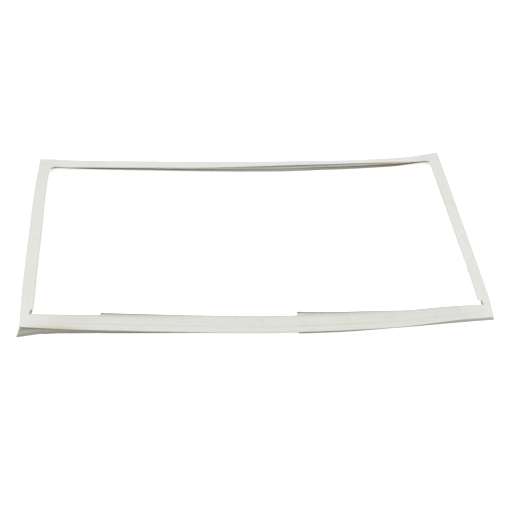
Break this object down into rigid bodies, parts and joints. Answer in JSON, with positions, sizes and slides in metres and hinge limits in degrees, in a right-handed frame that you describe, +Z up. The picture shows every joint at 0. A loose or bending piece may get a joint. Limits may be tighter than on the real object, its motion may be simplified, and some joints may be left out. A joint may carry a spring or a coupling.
{
  "type": "refrigerator door gasket",
  "caption": "Soft magnetic door seal: a welded rectangular frame of extruded profile with a sleeve, bellows, base and push-in dart.",
  "frame": {"origin": "middle of the frame's footprint, on the surface that it lies on", "axes": "+X along the long sides, +Y from the bowed long side to the rolled one, +Z up, out of the sealing face"},
  "size_m": [1.2092, 0.5444, 0.0413],
  "materials": {
    "soft_pvc": "soft matt grey-white PVC, extruded",
    "magnet_rubber": "dark brown ferrite-filled rubber, matt"
  },
  "bodies": {
    "root": {"gasket_profile": "soft_pvc", "magnet_strip_near": "magnet_rubber", "magnet_strip_right": "magnet_rubber", "magnet_strip_far": "magnet_rubber", "magnet_strip_left": "magnet_rubber"}
  },
  "joints": []
}
